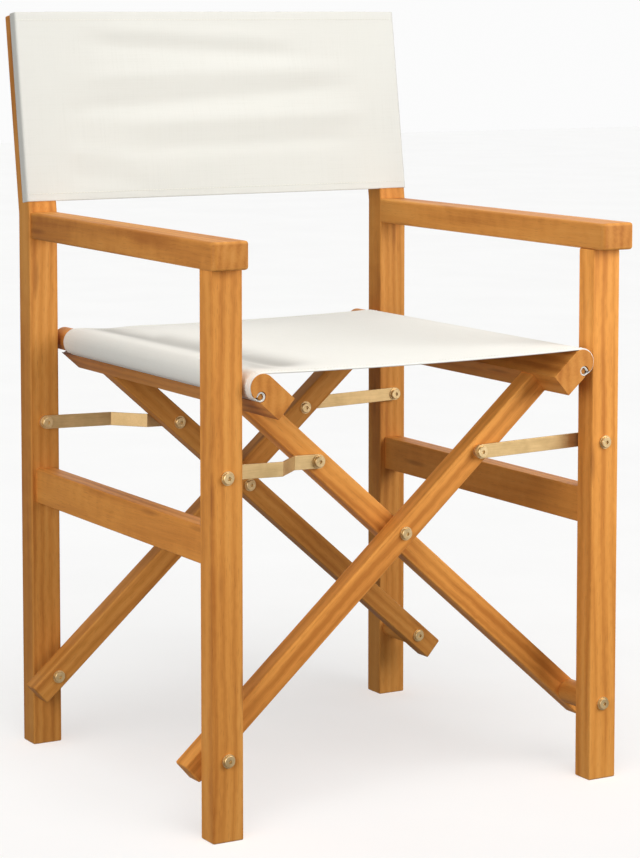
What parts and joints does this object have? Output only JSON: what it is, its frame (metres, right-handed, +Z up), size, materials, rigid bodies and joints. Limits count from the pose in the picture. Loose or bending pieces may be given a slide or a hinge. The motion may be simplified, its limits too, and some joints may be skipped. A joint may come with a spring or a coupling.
{
  "type": "folding director chair",
  "caption": "Folding director chair with an oiled hardwood frame, crossed braces, brass-coloured links and a stretched canvas seat and back.",
  "frame": {"origin": "on the floor, at the middle of the chair's outer box", "axes": "+Z up, -Y towards the sitter's knees (the chair's front), +X to the right when looking at it from the front"},
  "size_m": [0.5506, 0.5418, 0.8751],
  "materials": {
    "wood_frame": "oiled satin",
    "canvas": "woven matte",
    "brass_fittings": "satin"
  },
  "bodies": {
    "left_frame": {"front_left_post": "wood_frame", "rear_left_post": "wood_frame", "left_armrest": "wood_frame", "left_stretcher": "wood_frame", "left_dowels": "wood_frame", "left_pivot_bolts": "brass_fittings", "left_pivot_nuts": "brass_fittings", "left_pivot_bushes": "brass_fittings", "left_post_strap_bolts": "brass_fittings", "left_post_strap_nut": "brass_fittings", "left_frame_washers": "brass_fittings", "back_sleeve_left": "canvas", "left_back_hem_rod": "wood_frame"},
    "right_frame": {"front_right_post": "wood_frame", "rear_right_post": "wood_frame", "right_armrest": "wood_frame", "right_stretcher": "wood_frame", "right_dowels": "wood_frame", "right_pivot_bolts": "brass_fittings", "right_pivot_nuts": "brass_fittings", "right_pivot_spacers": "wood_frame", "right_post_strap_bolts": "brass_fittings", "right_post_strap_nut": "brass_fittings", "right_frame_washers": "brass_fittings", "back_sleeve_right": "canvas", "right_back_hem_rod": "wood_frame"},
    "outer_braces": {"front_outer_brace": "wood_frame", "rear_outer_brace": "wood_frame", "right_seat_rail": "wood_frame", "crossing_bolts": "brass_fittings", "crossing_nuts": "brass_fittings", "crossing_bushes": "brass_fittings", "outer_brace_strap_bolts": "brass_fittings", "outer_brace_strap_nut": "brass_fittings", "outer_brace_washers": "brass_fittings", "seat_canvas_right": "canvas", "right_seat_hem_rod": "wood_frame"},
    "inner_braces": {"front_inner_brace": "wood_frame", "rear_inner_brace": "wood_frame", "left_seat_rail": "wood_frame", "inner_brace_strap_bolts": "brass_fittings", "inner_brace_strap_nut": "brass_fittings", "inner_brace_washers": "brass_fittings", "seat_canvas_left": "canvas", "left_seat_hem_rod": "wood_frame"},
    "front_left_link": {"front_left_strap": "brass_fittings", "front_left_sleeve_nut": "brass_fittings"},
    "front_right_link": {"front_right_strap": "brass_fittings", "front_right_sleeve_nut": "brass_fittings"},
    "rear_left_link": {"rear_left_strap": "brass_fittings", "rear_left_sleeve_nut": "brass_fittings"},
    "rear_right_link": {"rear_right_strap": "brass_fittings", "rear_right_sleeve_nut": "brass_fittings"},
    "back_left": {"back_canvas_left": "canvas"},
    "back_right": {"back_canvas_right": "canvas"}
  },
  "joints": [
    {"name": "fold", "type": "hinge", "parent": "left_frame", "child": "outer_braces", "pos_m": [-0.2427, 0, 0.088], "axis": [0, -1, 0], "range_deg": [0, 32], "deforming": ["seat_canvas_right"]},
    {"name": "crossing", "type": "hinge", "parent": "outer_braces", "child": "inner_braces", "pos_m": [0, 0, 0.3022], "axis": [0, -1, 0], "range_deg": [-68.9, 0], "deforming": ["seat_canvas_left"]},
    {"name": "right_pivot", "type": "hinge", "parent": "inner_braces", "child": "right_frame", "pos_m": [0.2427, 0, 0.088], "axis": [0, -1, 0], "range_deg": [0, 32.1]},
    {"name": "front_left_link", "type": "hinge", "parent": "inner_braces", "child": "front_left_link", "pos_m": [-0.09559, 0, 0.38657], "axis": [0, -1, 0], "range_deg": [0, 101.8]},
    {"name": "front_right_link", "type": "hinge", "parent": "outer_braces", "child": "front_right_link", "pos_m": [0.09559, 0, 0.38657], "axis": [0, -1, 0], "range_deg": [-101.8, 0]},
    {"name": "rear_left_link", "type": "hinge", "parent": "left_frame", "child": "rear_left_link", "pos_m": [-0.2427, 0, 0.39], "axis": [0, -1, 0], "range_deg": [0, 64.9]},
    {"name": "rear_right_link", "type": "hinge", "parent": "right_frame", "child": "rear_right_link", "pos_m": [0.2427, 0, 0.39], "axis": [0, -1, 0], "range_deg": [-64.9, 0]},
    {"name": "back_left_fold", "type": "hinge", "parent": "left_frame", "child": "back_left", "pos_m": [-0.2244, 0.20586, 0.63923], "axis": [0, 0.1478, 0.989], "range_deg": [0, 66.6], "deforming": ["back_canvas_left"]},
    {"name": "back_right_fold", "type": "hinge", "parent": "right_frame", "child": "back_right", "pos_m": [0.2244, 0.20586, 0.63923], "axis": [0, 0.1478, 0.989], "range_deg": [-66.6, 0], "deforming": ["back_canvas_right"]}
  ],
  "couplings": [
    {"joint": "crossing", "follows": "fold", "ratio": -2.1505},
    {"joint": "right_pivot", "follows": "fold", "ratio": 1},
    {"joint": "front_left_link", "follows": "fold", "ratio": 3.1768},
    {"joint": "front_right_link", "follows": "fold", "ratio": -3.1768},
    {"joint": "rear_left_link", "follows": "fold", "ratio": 2.0263},
    {"joint": "rear_right_link", "follows": "fold", "ratio": -2.0263},
    {"joint": "back_left_fold", "follows": "fold", "ratio": 2.0795},
    {"joint": "back_right_fold", "follows": "fold", "ratio": -2.0795}
  ]
}
